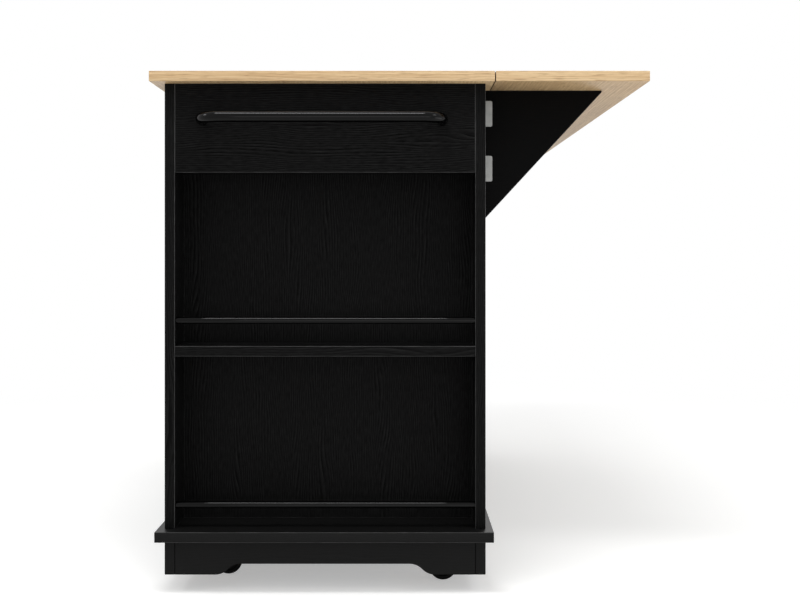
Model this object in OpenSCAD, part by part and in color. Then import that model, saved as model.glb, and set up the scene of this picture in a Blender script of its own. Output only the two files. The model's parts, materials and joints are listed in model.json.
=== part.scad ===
// Drop leaf kitchen island: an oak worktop and hinged leaf on a black cabinet with two drawers,
// two doors, an open end rack, a towel bar and four casters behind a shaped plinth.
// Millimetres. +Z is up, the rack end faces -Y and the leaf opens to +X. The origin lies on the
// floor under the middle of the whole island. Pieces are drawn from the worktop's front corner
// at the rack end, and placed() moves them to the origin.

/* [Worktop] */
// Length of the worktop and the drop leaf
top_len = 1350; // [1200:10:1500]
// Depth of the fixed worktop, front to back
top_depth = 601; // [570:1:660]
// Thickness of the worktop and the drop leaf
top_t = 18; // [16:1:24]
// Depth of the drop leaf
leaf_depth = 267.5; // [250:0.5:320]
// Gap between the worktop and the leaf
leaf_gap = 1.5; // [1:0.1:2.5]
// Height of the worktop above the floor
island_h = 914; // [880:1:950]

/* [Cabinet] */
// Thickness of the boards, doors and drawer fronts
board_t = 18; // [15:1:20]
// Worktop overhang beyond the doors
front_over = 22; // [18:1:35]
// Worktop overhang beyond the back panel
back_over = 14.3; // [14:0.1:18]
// Worktop overhang beyond each end of the cabinet
end_over = 25; // [15:1:45]
// Gap round the doors and drawer fronts
reveal = 3; // [2.7:0.1:4]
// Height of the drawer fronts
drawer_front_h = 153; // [135:1:180]
// Depth of the rails between drawers and doors
drawer_rail_d = 80; // [60:1:100]
// Height of the cabinet shelves above the base plate
cabinet_shelf_up = 303; // [200:1:400]
// Distance of the cabinet shelves behind the doors
cabinet_shelf_in = 27; // [15:1:80]
// Gap at each end of a cabinet shelf
shelf_gap = 0.5; // [0.3:0.1:1]
// Diameter of the shelf pins
shelf_pin_d = 5; // [4:0.5:7]
// Length of a shelf pin
shelf_pin_len = 16; // [12:1:17]

/* [Base] */
// Clear height under the plinth
floor_gap = 32; // [28:1:40]
// Height of the plinth boards
plinth_h = 63; // [56:1:75]
// Thickness of the base plate
base_t = 18; // [15:1:25]
// Base plate overhang beyond the doors and the back panel
base_over = 12.5; // [6:0.5:20]
// Base plate overhang beyond each end of the cabinet
base_end_over = 25; // [10:1:45]
// Height of the plinth's cut-outs
cutout_h = 19; // [10:1:28]
// Length of the curve at each end of a cut-out
cutout_run = 45; // [30:1:60]
// Distance from a corner of the plinth to a cut-out
cutout_in = 89; // [70:1:120]

/* [End rack] */
// Depth of the open rack
rack_depth = 78; // [60:1:110]
// Height of the upper panel
fascia_h = 156.5; // [130:0.5:190]
// Height of the rack shelf above the base plate
rack_shelf_up = 303; // [250:1:380]
// Diameter of the guard rails
rail_d = 12; // [8:0.5:14]
// Distance of the guard rails behind the rack's front edges
rail_in = 9; // [8:1:16]
// Height of the upper rail above the rack shelf
upper_rail_up = 45; // [30:1:80]
// Height of the lower rail above the base plate
lower_rail_up = 40; // [30:1:80]
// Depth of the holes that hold the guard rails
rail_seat = 8; // [5:1:12]

/* [Towel bar] */
// Diameter of the bar
bar_d = 19; // [12:0.5:22]
// Overall length of the bar
bar_len = 440; // [300:1:460]
// Distance of the bar's axis from the upper panel
bar_out = 50; // [47:0.5:60]
// Bend radius of the bar's axis
bar_bend = 34; // [20:1:45]
// Depth of the bar's axis below the worktop
bar_down = 65; // [40:1:90]
// Distance of the bar's middle from the rack's middle, towards the doors
bar_shift = 4.5; // [0:0.5:10]

/* [Leaf supports] */
// Thickness of a support
support_t = 12; // [10:0.5:12]
// Reach of a support from the back panel
support_reach = 222; // [180:1:230]
// Height of a support at the back panel
support_h = 239; // [200:1:280]
// Distance of a support behind the cabinet's end
support_in = 77; // [60:1:82]
// Gap between a support and the leaf
support_gap = 0.3; // [0.2:0.1:0.5]
// Height of a support hinge
support_hinge_h = 47; // [40:1:60]
// Width of a support hinge's plate on the board
support_hinge_w = 17; // [16:0.5:24]
// Depth of the upper hinge's middle below the worktop
support_hinge_1 = 43; // [40:1:60]
// Depth of the lower hinge's middle below the worktop
support_hinge_2 = 143.5; // [120:0.5:165]
// Corner radius of a support hinge's plate
support_hinge_r = 3; // [1:0.5:5]

/* [Hinges and screws] */
// Thickness of the hinge plates
plate_t = 1.2; // [1:0.1:1.3]
// Radius of the hinge knuckles
knuckle_r = 2.5; // [2.4:0.1:2.8]
// Radius of the hinge pins
pin_r = 1.2; // [1:0.1:1.4]
// Running clearance round pins, axles and king pins
running_gap = 0.05; // [0.03:0.01:0.09]
// Length of a leaf hinge
leaf_hinge_len = 70; // [50:1:80]
// Width of a leaf hinge's plate under the leaf
leaf_hinge_w = 22; // [16:1:30]
// Distance of the outer leaf hinges from the ends of the leaf
leaf_hinge_in = 400; // [400:5:450]
// Height of a door hinge
door_hinge_h = 60; // [50:1:80]
// Distance of the door hinges from the top and bottom of a door
door_hinge_in = 90; // [60:1:140]
// Width of a door hinge's plate
door_hinge_w = 17; // [14:0.5:17.5]
// Radius of the screws' shanks
screw_r = 1.5; // [1.3:0.1:1.6]
// Length of the screws
screw_len = 10; // [8:0.5:11]

/* [Doors and drawers] */
// Diameter of the handles' rod
handle_d = 8; // [7:0.5:10]
// Overall length of a handle
handle_len = 168; // [120:1:220]
// Distance of a handle's axis from the door
handle_out = 26; // [20:1:32]
// Bend radius of a handle's axis
handle_bend = 12; // [8:1:16]
// Distance from a door handle's middle to the top of the door
door_handle_down = 150; // [110:1:250]
// Distance from a door handle's axis to the door's free edge
door_handle_in = 45; // [25:1:80]
// Thickness of the drawer boards
drawer_board_t = 12; // [10:1:15]
// Height of the drawer sides
drawer_side_h = 100; // [80:1:110]
// Depth of a drawer box
drawer_box_d = 450; // [400:5:480]
// Thickness of the drawer bottoms
drawer_bottom_t = 5; // [3:0.5:6]
// Depth of the groove that holds a drawer bottom
groove_d = 5; // [4:0.5:7]
// Height of a groove above the lower edge of a drawer side
groove_up = 8; // [6:0.5:15]
// Space for a slide on each side of a drawer
slide_w = 12.5; // [12:0.1:14]
// Height of a slide's channel
slide_h = 35; // [30:1:42]
// Sheet thickness of the slides
slide_t = 1.2; // [1:0.1:1.5]
// Gap between a slide and its channel
slide_gap = 0.4; // [0.3:0.1:0.6]
// Width of a channel's lips
slide_lip = 6; // [4:0.5:7]
// Height of a slide above the lower edge of a drawer side
slide_up = 30; // [20:1:40]

/* [Casters] */
// Radius of a wheel
wheel_r = 25; // [22:0.5:26]
// Width of a wheel
wheel_w = 20; // [16:0.5:24]
// Distance from the king pin to the axle
caster_trail = 18; // [12:0.5:24]
// Height of the blocks above the casters
block_h = 27; // [24:1:32]
// Width of the blocks
block_w = 90; // [80:1:100]
// Width of a caster plate
caster_plate_w = 42; // [38:1:50]
// Thickness of a caster plate
caster_plate_t = 2.5; // [2:0.1:3]
// Distance between the plate's screws
caster_screw_pitch = 31; // [28:0.5:36]
// Sheet thickness of a fork
fork_t = 2.5; // [2:0.1:3]
// Gap between a fork and its wheel
fork_gap = 1; // [0.8:0.1:2]
// Radius of an axle
axle_r = 3; // [2.5:0.1:3.5]
// Radius of a king pin
king_r = 4; // [3.5:0.1:5]
// Front casters: king pin behind the doors' faces
caster_front_in = 76.5; // [70:0.5:100]
// Back casters: king pin in from the back panel's face
caster_back_in = 90; // [75:0.5:110]
// Front casters: king pin in from the cabinet's end
caster_front_end_in = 118.6; // [90:0.1:160]
// Back casters: king pin in from the cabinet's end
caster_back_end_in = 83; // [75:1:160]

/* [Hidden] */
$fn = 48;

oak = [0.82, 0.69, 0.53];
black_board = [0.10, 0.10, 0.10];
black_steel = [0.06, 0.06, 0.06];
bright_steel = [0.72, 0.72, 0.72];
raw_wood = [0.66, 0.52, 0.36];
black_plastic = [0.04, 0.04, 0.04];

// Heights
top_z = island_h - top_t;
base_z = floor_gap + plinth_h;
floor_z = base_z + base_t;
rack_shelf_z = floor_z + rack_shelf_up;
cabinet_shelf_z = floor_z + cabinet_shelf_up;
rail_split_z = top_z - reveal - drawer_front_h - reveal / 2;

// Front to back
front_x = front_over;
carcass_x = front_x + board_t;
back_x = top_depth - back_over;
inner_back_x = back_x - board_t;
mid_x = (front_x + back_x) / 2;
leaf_x = top_depth + leaf_gap;

// End to end
near_y = end_over;
far_y = top_len - end_over;
wall_y = near_y + rack_depth;
bay_y0 = wall_y + board_t;
bay_y1 = far_y - board_t;
bay_mid_y = (bay_y0 + bay_y1) / 2;
partition_y = bay_mid_y - board_t / 2;

// Middle of the whole island, from the handles and the towel bar to the leaf and the far end
handle_front_x = front_x - handle_out - handle_d / 2;
bar_front_y = near_y - bar_out - bar_d / 2;
origin_x = (min(0, handle_front_x) + leaf_x + leaf_depth) / 2;
origin_y = (min(0, bar_front_y) + top_len) / 2;

// Fits
screw_gap = 0.1;
wood_gap = 0.1;
knuckle_gap = 0.3;
knuckle_end_gap = 0.2;
wall_gap = 0.3;
groove_gap = 0.2;
head_r = 2 * screw_r;
head_h = head_r - screw_r;

// Places the pieces round the origin
module placed() {
    translate([-origin_x, -origin_y, 0]) children();
}

// The same piece at the far end of the island
module far_end() {
    translate([0, top_len, 0]) mirror([0, 1, 0]) children();
}

// The same piece in the far bay of the cabinet
module far_bay() {
    translate([0, 2 * bay_mid_y, 0]) mirror([0, 1, 0]) children();
}

module both_ends() {
    children();
    far_end() children();
}

module both_bays() {
    children();
    far_bay() children();
}

// A board between two corners
module board(low, high) {
    translate(low) cube(high - low);
}

// A countersunk screw along +Z, its head's face at z = 0 and its point at z = screw_len
module screw(gap = 0) {
    cylinder(r1 = head_r + gap, r2 = screw_r + gap, h = head_h);
    cylinder(r = screw_r + gap, h = screw_len + gap);
}

// ---- Hinges: the pin lies along Z at x = y = 0, plates reach to +X ----

module knuckles(h, frame, gap = 0) {
    third = h / 3;
    r = knuckle_r + gap;
    cut = knuckle_end_gap / 2 - gap;
    if (frame) {
        for (side = [-1, 1])
            translate([0, 0, side * third]) cylinder(r = r, h = third - 2 * cut, center = true);
    } else {
        cylinder(r = r, h = third - 2 * cut, center = true);
    }
}

// One half of a hinge: its own knuckles joined to the plate given as children
module hinge_half(h, frame) {
    difference() {
        union() {
            knuckles(h, frame);
            difference() {
                children();
                knuckles(h, !frame, knuckle_gap);
            }
        }
        cylinder(r = pin_r + running_gap, h = h + 2, center = true);
    }
}

module pin(h) {
    cylinder(r = pin_r, h = h, center = true);
}

// A bent rod handle along X, its feet on y = 0 and its axis out at -Y
module bent_rod(len, out, d, bend) {
    reach = len / 2 - d / 2;
    translate([0, -out, 0]) rotate([0, 90, 0])
        cylinder(d = d, h = 2 * (reach - bend), center = true);
    for (side = [-1, 1]) {
        translate([side * reach, 0, 0]) rotate([90, 0, 0]) cylinder(d = d, h = out - bend);
        translate([side * (reach - bend), bend - out, 0])
            rotate([0, 0, side > 0 ? -90 : 180])
                rotate_extrude(angle = 90) translate([bend, 0]) circle(d = d);
    }
}

// ---- Worktop, leaf and cabinet boards ----

module worktop() {
    color(oak) placed() difference() {
        board([0, 0, top_z], [top_depth, top_len, island_h]);
        leaf_hinge_places() leaf_frame_screws(screw_gap);
    }
}

module base_plate() {
    color(black_board) placed()
        board([front_x - base_over, near_y - base_end_over, base_z],
              [back_x + base_over, far_y + base_end_over, floor_z]);
}

module rack_side_board() {
    color(black_board) placed() difference() {
        board([front_x, near_y, floor_z], [carcass_x, bay_y0, top_z]);
        rail_ends(wood_gap);
        door_hinge_places() door_frame_screws(screw_gap);
    }
}

module near_end_wall() {
    color(black_board) placed() difference() {
        board([carcass_x, wall_y, floor_z], [inner_back_x, bay_y0, top_z]);
        shelf_pin_places() shelf_pin(wood_gap);
    }
}

module far_end_wall() {
    color(black_board) placed() difference() {
        board([front_x, bay_y1, floor_z], [inner_back_x, far_y, top_z]);
        far_bay() shelf_pin_places() shelf_pin(wood_gap);
        far_bay() door_hinge_places() door_frame_screws(screw_gap);
    }
}

module back_panel() {
    color(black_board) placed() difference() {
        board([inner_back_x, near_y, floor_z], [back_x, far_y, top_z]);
        rail_ends(wood_gap);
        both_ends() support_hinge_places() support_frame_screws(screw_gap);
    }
}

module centre_partition() {
    color(black_board) placed() difference() {
        board([carcass_x, partition_y, floor_z], [inner_back_x, partition_y + board_t, top_z]);
        both_bays() at_partition() shelf_pin_places() shelf_pin(wood_gap);
    }
}

module drawer_rails() {
    color(black_board) placed() both_bays()
        board([carcass_x, bay_y0, rail_split_z - board_t / 2],
              [carcass_x + drawer_rail_d, partition_y, rail_split_z + board_t / 2]);
}

// ---- Cabinet shelves and their pins ----

shelf_x0 = carcass_x + cabinet_shelf_in;
shelf_x1 = inner_back_x - shelf_gap;
shelf_pin_in = 50;

module shelf_pin_places() {
    for (x = [shelf_x0 + shelf_pin_in, shelf_x1 - shelf_pin_in])
        translate([x, bay_y0, cabinet_shelf_z - shelf_pin_d / 2]) children();
}

// Half of the pin is in the wall, at -Y, and half under the shelf
module shelf_pin(gap = 0) {
    rotate([90, 0, 0])
        cylinder(d = shelf_pin_d + 2 * gap, h = shelf_pin_len + 2 * gap, center = true);
}

module at_partition() {
    translate([0, partition_y - bay_y0, 0]) children();
}

module cabinet_shelves() {
    color(black_board) placed() both_bays()
        board([shelf_x0, bay_y0 + shelf_gap, cabinet_shelf_z],
              [shelf_x1, partition_y - shelf_gap, cabinet_shelf_z + board_t]);
}

module shelf_pins() {
    color(bright_steel) placed() both_bays() {
        shelf_pin_places() shelf_pin();
        at_partition() shelf_pin_places() shelf_pin();
    }
}

// ---- End rack ----

module fascia_panel() {
    color(black_board) placed() difference() {
        board([carcass_x, near_y, top_z - fascia_h], [inner_back_x, near_y + board_t, top_z]);
        bar_screw_places() bar_screw(screw_gap);
    }
}

module rack_shelf() {
    color(black_board) placed()
        board([carcass_x, near_y, rack_shelf_z], [inner_back_x, wall_y, rack_shelf_z + board_t]);
}

module guard_rail(z, gap = 0) {
    len = inner_back_x - carcass_x + 2 * rail_seat + 2 * gap;
    translate([(carcass_x + inner_back_x) / 2, near_y + rail_in, z]) rotate([0, 90, 0])
        cylinder(d = rail_d + 2 * gap, h = len, center = true);
}

upper_rail_z = rack_shelf_z + board_t + upper_rail_up;
lower_rail_z = floor_z + lower_rail_up;

module rail_ends(gap) {
    guard_rail(upper_rail_z, gap);
    guard_rail(lower_rail_z, gap);
}

module upper_guard_rail() {
    color(black_steel) placed() guard_rail(upper_rail_z);
}

module lower_guard_rail() {
    color(black_steel) placed() guard_rail(lower_rail_z);
}

// ---- Towel bar ----

bar_mid_x = mid_x - bar_shift;
bar_z = top_z - bar_down;
bar_screw_r = 2;
bar_head_r = 4.5;
bar_head_h = 2.5;
bar_screw_bite = 9;

module bar_screw_places() {
    for (side = [-1, 1])
        translate([bar_mid_x + side * (bar_len - bar_d) / 2, near_y, bar_z]) children();
}

// A pan head screw from behind the upper panel into the foot of the bar
module bar_screw(gap = 0) {
    rotate([90, 0, 0])
        cylinder(r = bar_screw_r + gap, h = 2 * (bar_screw_bite + gap), center = true);
    translate([0, board_t, 0]) rotate([90, 0, 0])
        cylinder(r = bar_screw_r + gap, h = board_t);
    translate([0, board_t + bar_head_h, 0]) rotate([90, 0, 0])
        cylinder(r = bar_head_r, h = bar_head_h);
}

module towel_bar() {
    color(black_steel) placed() difference() {
        translate([bar_mid_x, near_y, bar_z]) bent_rod(bar_len, bar_out, bar_d, bar_bend);
        bar_screw_places() bar_screw(screw_gap);
    }
}

// ---- Plinth ----

// Outline of a plinth board with its cut-out: two arcs make the curve at each end
module plinth_outline(len, cut_from) {
    turn = 2 * atan(cutout_h / cutout_run);
    r = cutout_run / (2 * sin(turn));
    steps = 8;
    lower = [for (n = [0:steps]) let (a = turn * n / steps) [r * sin(a), r * (1 - cos(a))]];
    upper = [for (n = [steps - 1:-1:0]) let (a = turn * n / steps)
        [cutout_run - r * sin(a), cutout_h - r * (1 - cos(a))]];
    curve = concat(lower, upper);
    last = len(curve) - 1;
    rise = [for (p = curve) [cut_from + p[0], p[1]]];
    fall = [for (n = [last:-1:0]) [len - cut_from - curve[n][0], curve[n][1]]];
    polygon(concat([[0, 0]], rise, fall, [[len, 0], [len, plinth_h], [0, plinth_h]]));
}

module plinth_ends() {
    len = inner_back_x - carcass_x;
    color(black_board) placed() both_ends()
        translate([carcass_x, near_y + board_t, floor_gap]) rotate([90, 0, 0])
            linear_extrude(board_t) plinth_outline(len, cutout_in - board_t);
}

module plinth_sides() {
    len = far_y - near_y;
    color(black_board) placed()
        for (x = [front_x, inner_back_x])
            translate([x, near_y, floor_gap]) rotate([90, 0, 90])
                linear_extrude(board_t) plinth_outline(len, cutout_in);
}

// ---- Casters ----

caster_h = base_z - block_h;
plate_z = caster_h - caster_plate_t;
race_r = 14;
race_h = 4.5;
crown_gap = 0.3;
crown_r = 17;
crown_z = plate_z - race_h - crown_gap - fork_t;
leg_w = 22;
leg_y = wheel_w / 2 + fork_gap;
rivet_r = 7;
rivet_h = 2;
axle_head_r = 5;
axle_head_h = 2;
caster_head_r = 4;
caster_head_h = 2;
caster_screw_r = 2;
caster_screw_bite = 12;
wheel_core_r = 17;
wheel_core_out = 0.5;
tread_fillet = 3;

near_front = [front_x + caster_front_in, near_y + caster_front_end_in];
near_back = [back_x - caster_back_in, near_y + caster_back_end_in];
far_front = [near_front[0], top_len - near_front[1]];
far_back = [near_back[0], top_len - near_back[1]];
CASTERS = [near_front, near_back, far_front, far_back];

module at_caster(spot) {
    translate([spot[0], spot[1], 0]) children();
}

module caster_screw(gap = 0) {
    for (x = [-1, 1], y = [-1, 1])
        translate([x * caster_screw_pitch / 2, y * caster_screw_pitch / 2, plate_z]) {
            cylinder(r = caster_screw_r + gap, h = caster_plate_t + caster_screw_bite + gap);
            translate([0, 0, -caster_head_h]) cylinder(r = caster_head_r, h = caster_head_h);
        }
}

module caster_blocks() {
    color(raw_wood) placed() for (spot = CASTERS) at_caster(spot) difference() {
        board([-block_w / 2, -block_w / 2, caster_h], [block_w / 2, block_w / 2, base_z]);
        translate([0, 0, caster_h - 1]) cylinder(r = rivet_r + 2, h = rivet_h + 3);
        caster_screw(screw_gap);
    }
}

module caster_plates() {
    half = caster_plate_w / 2;
    color(black_steel) placed() for (spot = CASTERS) at_caster(spot) difference() {
        union() {
            board([-half, -half, plate_z], [half, half, caster_h]);
            translate([0, 0, plate_z - race_h]) cylinder(r = race_r, h = race_h);
        }
        cylinder(r = king_r + running_gap, h = caster_h + 1);
        caster_screw(screw_gap);
    }
}

// Fork with its riveted king pin
module fork(spot) {
    color(black_steel) placed() at_caster(spot) difference() {
        union() {
            translate([0, 0, crown_z]) cylinder(r = crown_r, h = fork_t);
            translate([0, 0, crown_z]) cylinder(r = king_r, h = caster_h + crown_gap - crown_z);
            translate([0, 0, caster_h + crown_gap]) cylinder(r = rivet_r, h = rivet_h);
            board([0, -leg_y - fork_t, crown_z],
                  [caster_trail + leg_w / 2, leg_y + fork_t, crown_z + fork_t]);
            for (y = [-leg_y - fork_t, leg_y])
                translate([0, y + fork_t, 0]) rotate([90, 0, 0]) linear_extrude(fork_t)
                    fork_leg();
        }
        board([-crown_r - 1, -leg_y, 0], [caster_trail + leg_w, leg_y, crown_z]);
        translate([caster_trail, 0, wheel_r]) rotate([90, 0, 0])
            cylinder(r = axle_r + running_gap, h = 4 * leg_y, center = true);
    }
}

// Side view of a leg: it narrows from the crown to the round end at the axle
module fork_leg() {
    difference() {
        union() {
            translate([caster_trail, wheel_r]) circle(r = leg_w / 2);
            polygon([[0, crown_z + fork_t], [0, crown_z], [caster_trail - leg_w / 2, wheel_r],
                     [caster_trail + leg_w / 2, wheel_r],
                     [caster_trail + leg_w / 2, crown_z + fork_t]]);
        }
        translate([caster_trail, wheel_r]) circle(r = axle_r + running_gap);
    }
}

module axle(spot) {
    len = 2 * (leg_y + fork_t + knuckle_end_gap);
    color(bright_steel) placed() at_caster(spot)
        translate([caster_trail, 0, wheel_r]) rotate([90, 0, 0]) {
            cylinder(r = axle_r, h = len, center = true);
            for (side = [-1, 1])
                translate([0, 0, side * (len + axle_head_h) / 2])
                    cylinder(r = axle_head_r, h = axle_head_h, center = true);
        }
}

// Tyre and hub turned in one outline
module wheel(spot) {
    half = wheel_w / 2;
    steps = 6;
    corner = [for (n = [0:steps]) let (a = 90 * n / steps)
        [wheel_r - tread_fillet * (1 - cos(a)), half - tread_fillet * (1 - sin(a))]];
    side = concat(corner, [[wheel_core_r + 1, half], [wheel_core_r, half - 2], [9, half - 2],
        [8, half + wheel_core_out], [axle_r + running_gap, half + wheel_core_out]]);
    last = len(side) - 1;
    color(black_plastic) placed() at_caster(spot)
        translate([caster_trail, 0, wheel_r]) rotate([90, 0, 0]) rotate_extrude()
            polygon(concat(side, [for (n = [last:-1:0]) [side[n][0], -side[n][1]]]));
}

// ---- Drop leaf and its hinges ----

leaf_pin = [top_depth + leaf_gap / 2, top_z - knuckle_r - wall_gap];
leaf_plate_top = knuckle_r + wall_gap;
leaf_frame_w = leaf_pin[0] - back_x - 0.8;
leaf_screw_pitch = leaf_hinge_len / 2 - 8;

// Turns a hinge so that its pin lies along the island and its plates lie flat
module leaf_hinge_places() {
    for (y = [leaf_hinge_in, top_len / 2, top_len - leaf_hinge_in])
        translate([leaf_pin[0], y, leaf_pin[1]]) rotate([-90, 0, 0]) children();
}

// A screw up into the wood, from the plate's face
module leaf_screw_rows(x, gap) {
    for (n = [-1:1])
        translate([x, plate_t - leaf_plate_top, n * leaf_screw_pitch]) rotate([90, 0, 0])
            screw(gap);
}

module leaf_frame_screws(gap = 0) {
    leaf_screw_rows(-leaf_frame_w / 2 - knuckle_r / 2, gap);
}

module leaf_flap_screws(gap = 0) {
    leaf_screw_rows(leaf_hinge_w / 2 + knuckle_r / 2, gap);
}

module leaf_plate(from_x, to_x) {
    board([from_x, -leaf_plate_top, -leaf_hinge_len / 2],
          [to_x, plate_t - leaf_plate_top, leaf_hinge_len / 2]);
}

module leaf_hinge_frames() {
    color(bright_steel) placed() leaf_hinge_places() difference() {
        hinge_half(leaf_hinge_len, true) leaf_plate(-leaf_frame_w, -knuckle_gap);
        leaf_frame_screws(screw_gap);
    }
}

module leaf_hinge_flaps() {
    color(bright_steel) placed() leaf_hinge_places() {
        difference() {
            hinge_half(leaf_hinge_len, false) leaf_plate(knuckle_gap, leaf_hinge_w);
            leaf_flap_screws(screw_gap);
        }
        leaf_flap_screws();
    }
}

module drop_leaf() {
    color(oak) placed() difference() {
        board([leaf_x, 0, top_z], [leaf_x + leaf_depth, top_len, island_h]);
        leaf_hinge_places() leaf_flap_screws(screw_gap);
    }
}

// ---- Folding supports ----

support_pin = [back_x + knuckle_r + wall_gap, near_y + support_in + support_t];
support_z = [top_z - support_hinge_1, top_z - support_hinge_2];
support_edge = plate_t - knuckle_r;
support_screw_up = support_hinge_h * 0.3;
support_screw_in = support_hinge_w * 0.6;
support_plate_x = -knuckle_r - wall_gap;

module support_hinge_places() {
    for (z = support_z) translate([support_pin[0], support_pin[1], z]) children();
}

module support_frame_screws(gap = 0) {
    for (side = [-1, 1])
        translate([support_plate_x + plate_t, support_screw_in, side * support_screw_up])
            rotate([0, -90, 0]) screw(gap);
}

module support_flap_screws(gap = 0) {
    for (side = [-1, 1])
        translate([support_edge + support_screw_in, -support_t - plate_t,
                   side * support_screw_up])
            rotate([-90, 0, 0]) screw(gap);
}

// Plate on the back panel
module support_frame_plate() {
    board([support_plate_x, 0, -support_hinge_h / 2],
          [support_plate_x + plate_t, support_hinge_w, support_hinge_h / 2]);
}

// Plate that wraps the board's edge from the pin to the outer face, with rounded corners
module support_flap_plate() {
    half = support_hinge_h / 2;
    face_end = support_edge + support_hinge_w;
    corner = support_hinge_r;
    board([-knuckle_r, -support_t - plate_t, -half], [support_edge, 0, half]);
    translate([0, -support_t, 0]) rotate([90, 0, 0]) linear_extrude(plate_t) {
        translate([-knuckle_r, -half]) square([face_end + knuckle_r - corner, 2 * half]);
        translate([-knuckle_r, corner - half])
            square([face_end + knuckle_r, 2 * (half - corner)]);
        for (side = [-1, 1])
            translate([face_end - corner, side * (half - corner)]) circle(r = corner);
    }
}

module support_flaps() {
    support_hinge_places() {
        difference() {
            hinge_half(support_hinge_h, false) support_flap_plate();
            support_flap_screws(screw_gap);
        }
        support_flap_screws();
    }
}

// Triangular board, notched at its inner corner for the knuckles
module support_board() {
    x = support_pin[0] + support_edge;
    z = top_z - support_gap;
    difference() {
        translate([0, support_pin[1], 0]) rotate([90, 0, 0]) linear_extrude(support_t)
            polygon([[x, z], [back_x + support_reach, z], [x, top_z - support_h]]);
        support_hinge_places() {
            cylinder(r = knuckle_r + knuckle_gap, h = support_hinge_h + 1, center = true);
            support_flap_screws(screw_gap);
        }
    }
}

module support_hinge_frames() {
    color(bright_steel) placed() both_ends() support_hinge_places() difference() {
        hinge_half(support_hinge_h, true) support_frame_plate();
        support_frame_screws(screw_gap);
    }
}

module near_support() { color(black_board) placed() support_board(); }
module far_support() { color(black_board) placed() far_end() support_board(); }
module near_support_flaps() { color(bright_steel) placed() support_flaps(); }
module far_support_flaps() { color(bright_steel) placed() far_end() support_flaps(); }

// ---- Doors ----

door_pin = [front_x - knuckle_r - knuckle_gap, bay_y0 + reveal / 2];
door_y0 = bay_y0 + reveal;
door_y1 = bay_mid_y - reveal / 2;
door_z0 = floor_z + reveal;
door_z1 = rail_split_z - reveal / 2;
door_hinge_z = [door_z0 + door_hinge_in, door_z1 - door_hinge_in];
door_plate_gap = reveal / 2 - plate_t;
door_screw_up = door_hinge_h * 0.3;
door_screw_x = knuckle_r + knuckle_gap + board_t / 2;

module door_hinge_places() {
    for (z = door_hinge_z) translate([door_pin[0], door_pin[1], z]) children();
}

module door_plate(y) {
    board([0, y, -door_hinge_h / 2],
          [knuckle_r + knuckle_gap + door_hinge_w, y + plate_t, door_hinge_h / 2]);
}

module door_frame_screws(gap = 0) {
    for (side = [-1, 1])
        translate([door_screw_x, -door_plate_gap, side * door_screw_up])
            rotate([90, 0, 0]) screw(gap);
}

module door_flap_screws(gap = 0) {
    for (side = [-1, 1])
        translate([door_screw_x, door_plate_gap, side * door_screw_up])
            rotate([-90, 0, 0]) screw(gap);
}

module door_hinge_frames() {
    color(bright_steel) placed() both_bays() door_hinge_places() difference() {
        hinge_half(door_hinge_h, true) door_plate(-reveal / 2);
        door_frame_screws(screw_gap);
    }
}

module door_flaps() {
    door_hinge_places() {
        difference() {
            hinge_half(door_hinge_h, false) door_plate(door_plate_gap);
            door_flap_screws(screw_gap);
        }
        door_flap_screws();
    }
}

module rod_handle() {
    bent_rod(handle_len, handle_out, handle_d, handle_bend);
}

// Machine screws from inside the door or drawer front into the handle's feet
handle_screw_r = 2;
handle_head_r = 4;
handle_head_h = 2.5;
handle_screw_bite = 8;

module handle_screws(gap = 0) {
    for (side = [-1, 1])
        translate([side * (handle_len - handle_d) / 2, 0, 0]) rotate([-90, 0, 0]) {
            translate([0, 0, -handle_screw_bite - gap])
                cylinder(r = handle_screw_r + gap, h = board_t + handle_screw_bite + gap);
            translate([0, 0, board_t]) cylinder(r = handle_head_r, h = handle_head_h);
        }
}

// A handle with its screws, drawn along X with its feet on y = 0
module handle_set() {
    difference() {
        rod_handle();
        handle_screws(screw_gap);
    }
    handle_screws();
}

// Turns a handle upright on the door's face, near its free edge
module on_door() {
    translate([front_x, door_y1 - door_handle_in, door_z1 - door_handle_down])
        rotate([-90, 0, 0]) rotate([0, 0, -90]) children();
}

module door_panel() {
    difference() {
        board([front_x, door_y0, door_z0], [carcass_x, door_y1, door_z1]);
        door_hinge_places() door_flap_screws(screw_gap);
        on_door() handle_screws(screw_gap);
    }
}

module near_door() { color(black_board) placed() door_panel(); }
module far_door() { color(black_board) placed() far_bay() door_panel(); }
module near_door_handle() { color(black_steel) placed() on_door() handle_set(); }
module far_door_handle() { color(black_steel) placed() far_bay() on_door() handle_set(); }
module near_door_flaps() { color(bright_steel) placed() door_flaps(); }
module far_door_flaps() { color(bright_steel) placed() far_bay() door_flaps(); }

catch_size = [14, 40, 12];
catch_in = 20;

module door_catches() {
    color(black_plastic) placed() both_bays()
        translate([carcass_x + wood_gap, partition_y - catch_size[1] - catch_in,
                   rail_split_z - board_t / 2 - catch_size[2]]) cube(catch_size);
}

// ---- Drawers ----

drawer_y0 = door_y0;
drawer_y1 = door_y1;
drawer_z0 = rail_split_z + reveal / 2;
box_y0 = bay_y0 + slide_w;
box_y1 = partition_y - slide_w;
box_z = rail_split_z + board_t / 2 + reveal;
bottom_z = box_z + groove_up;
box_x1 = carcass_x + drawer_box_d;
slide_z = box_z + slide_up + slide_h / 2;

module on_drawer() {
    translate([front_x, (drawer_y0 + drawer_y1) / 2, drawer_z0 + drawer_front_h / 2])
        rotate([0, 0, -90]) children();
}

module drawer_front() {
    difference() {
        board([front_x, drawer_y0, drawer_z0],
              [carcass_x, drawer_y1, drawer_z0 + drawer_front_h]);
        on_drawer() handle_screws(screw_gap);
    }
}

module drawer_bottom(gap = 0) {
    board([carcass_x - gap, box_y0 + drawer_board_t - groove_d - gap, bottom_z - gap],
          [box_x1 + gap, box_y1 - drawer_board_t + groove_d + gap,
           bottom_z + drawer_bottom_t + gap]);
}

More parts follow.
